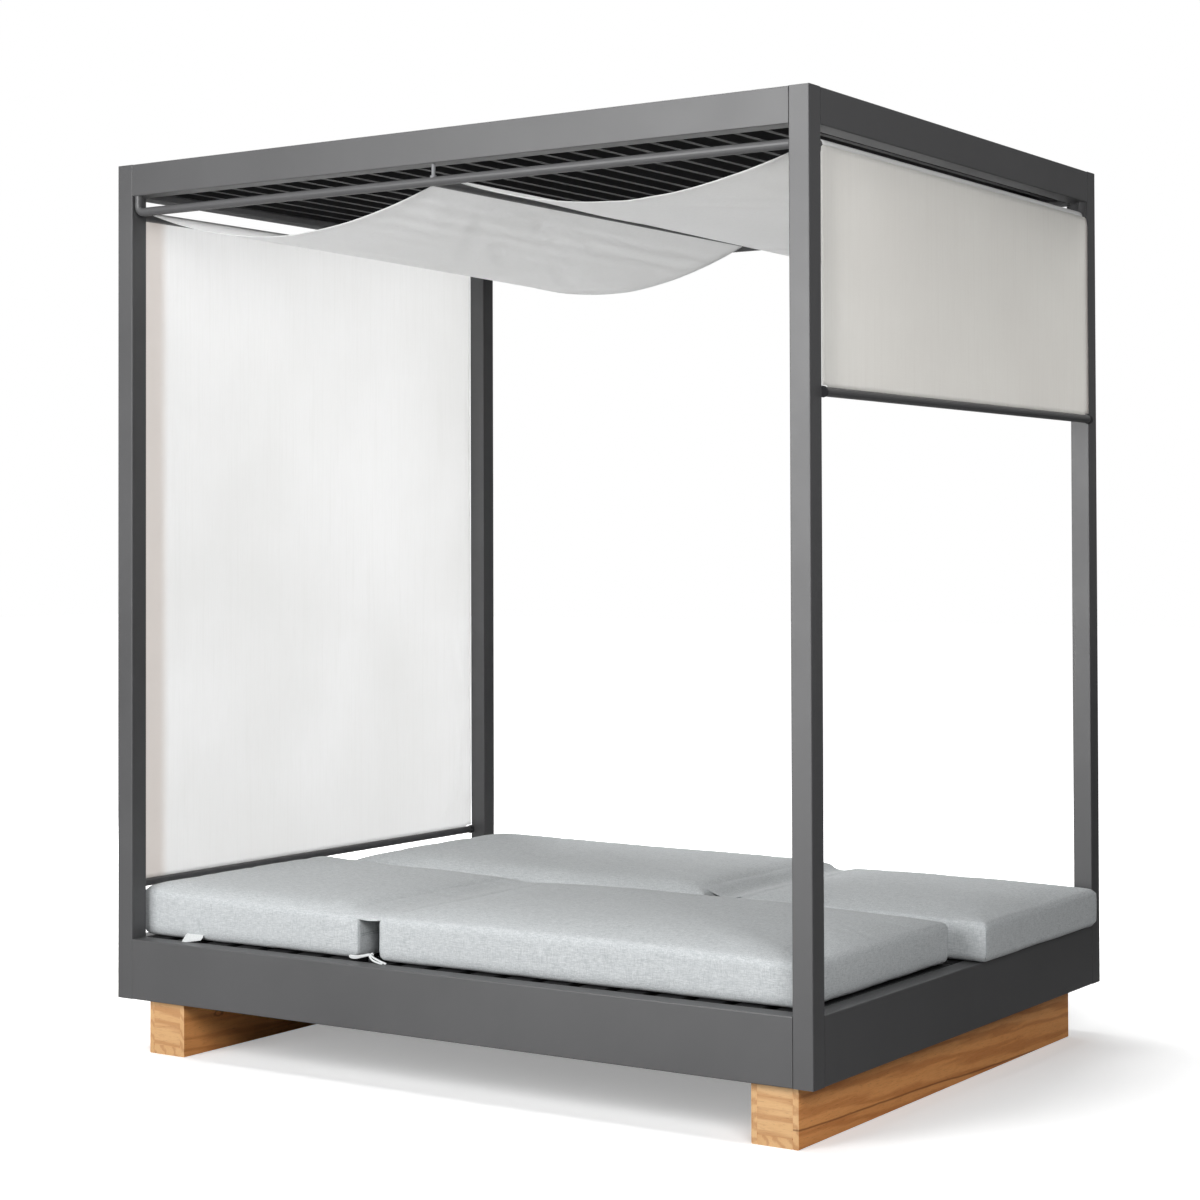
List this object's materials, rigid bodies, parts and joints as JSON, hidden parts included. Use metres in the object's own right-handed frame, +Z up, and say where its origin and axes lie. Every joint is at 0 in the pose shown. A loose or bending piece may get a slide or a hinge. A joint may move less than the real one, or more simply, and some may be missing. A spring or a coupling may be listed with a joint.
{
  "type": "outdoor daybed with canopy",
  "caption": "Box-frame outdoor daybed on teak feet with a slat roof, a cloth canopy with sliding end screens and head-to-foot lounger mattresses with tilting back rests",
  "frame": {"origin": "on the floor, below the middle of the frame's plan", "axes": "+X runs to the right along the long front beam, +Y to the back, +Z up"},
  "size_m": [2.0252, 1.53, 2.232],
  "materials": {
    "powder_coat": "matte fine anthracite powder coat on aluminium",
    "powder_coat_dark": "matte dark powder coat on aluminium",
    "bare_steel": "plain drawn stainless rod",
    "cap_rubber": "matt black rubber",
    "teak": "oiled planed teak",
    "canopy_cloth": "light beige woven screen cloth",
    "cushion_cover": "pale blue-grey melange outdoor weave"
  },
  "bodies": {
    "bed_frame": {"back_fold_strip": "cushion_cover", "back_hinge_rod": "bare_steel", "back_prop_rack": "powder_coat_dark", "back_seat_cushion": "cushion_cover", "back_seat_deck": "powder_coat_dark", "base_beam_back": "powder_coat", "base_beam_front": "powder_coat", "base_beam_left": "powder_coat", "base_beam_right": "powder_coat", "canopy_rod_back": "powder_coat", "canopy_rod_front": "powder_coat", "canopy_rod_left": "powder_coat", "canopy_rod_middle": "powder_coat", "canopy_rod_right": "powder_coat", "canopy_roof_cloth": "canopy_cloth", "cross_bearer_left": "powder_coat_dark", "cross_bearer_middle": "powder_coat_dark", "cross_bearer_right": "powder_coat_dark", "front_cushion_tab": "canopy_cloth", "front_fold_strip": "cushion_cover", "front_hinge_rod": "bare_steel", "front_prop_rack": "powder_coat_dark", "front_seat_cushion": "cushion_cover", "front_seat_deck": "powder_coat_dark", "front_tie_tape": "canopy_cloth", "left_foot_back_panel": "teak", "left_foot_bottom_board": "teak", "left_foot_front_panel": "teak", "left_foot_left_board": "teak", "left_foot_right_board": "teak", "left_screen_cloth": "canopy_cloth", "post_back_left": "powder_coat", "post_back_right": "powder_coat", "post_front_left": "powder_coat", "post_front_right": "powder_coat", "right_foot_back_panel": "teak", "right_foot_bottom_board": "teak", "right_foot_front_panel": "teak", "right_foot_left_board": "teak", "right_foot_right_board": "teak", "right_screen_cloth": "canopy_cloth", "rod_hanger_back": "bare_steel", "rod_hanger_front": "bare_steel", "roof_slat_panel": "powder_coat_dark", "top_beam_back": "powder_coat", "top_beam_front": "powder_coat", "top_beam_left": "powder_coat", "top_beam_right": "powder_coat"},
    "front_back_rest_body": {"front_back_rest": "powder_coat_dark", "front_back_cushion": "cushion_cover"},
    "front_prop_body": {"front_prop": "bare_steel"},
    "back_back_rest_body": {"back_back_rest": "powder_coat_dark", "back_back_cushion": "cushion_cover"},
    "back_prop_body": {"back_prop": "bare_steel"},
    "left_screen_rod_body": {"left_screen_rod": "powder_coat", "left_rod_cap_front": "cap_rubber", "left_rod_cap_back": "cap_rubber"},
    "right_screen_rod_body": {"right_screen_rod": "powder_coat", "right_rod_cap_front": "cap_rubber", "right_rod_cap_back": "cap_rubber"}
  },
  "joints": [
    {"name": "front_back_rest_tilt", "type": "hinge", "parent": "bed_frame", "child": "front_back_rest_body", "pos_m": [-0.276, -0.358, 0.27505], "axis": [0, 1, 0], "range_deg": [0, 40], "deforming": ["front_fold_strip"]},
    {"name": "front_prop_swing", "type": "hinge", "parent": "front_back_rest_body", "child": "front_prop_body", "pos_m": [-0.56025, -0.358, 0.248], "axis": [0, -1, 0], "range_deg": [0, 82]},
    {"name": "back_back_rest_tilt", "type": "hinge", "parent": "bed_frame", "child": "back_back_rest_body", "pos_m": [0.34, 0.358, 0.27505], "axis": [0, -1, 0], "range_deg": [0, 40], "deforming": ["back_fold_strip"]},
    {"name": "back_prop_swing", "type": "hinge", "parent": "back_back_rest_body", "child": "back_prop_body", "pos_m": [0.61525, 0.358, 0.248], "axis": [0, 1, 0], "range_deg": [0, 82]},
    {"name": "left_screen_slide", "type": "slide", "parent": "bed_frame", "child": "left_screen_rod_body", "axis": [0, 0, 1], "range_m": [0, 1.15], "deforming": ["left_screen_cloth"]},
    {"name": "right_screen_slide", "type": "slide", "parent": "bed_frame", "child": "right_screen_rod_body", "axis": [0, 0, -1], "range_m": [0, 1.15], "deforming": ["right_screen_cloth"]}
  ],
  "couplings": [
    {"joint": "front_prop_swing", "follows": "front_back_rest_tilt", "ratio": 2.04},
    {"joint": "back_prop_swing", "follows": "back_back_rest_tilt", "ratio": 2.04},
    {"joint": "right_screen_slide", "follows": "left_screen_slide", "ratio": 1}
  ]
}
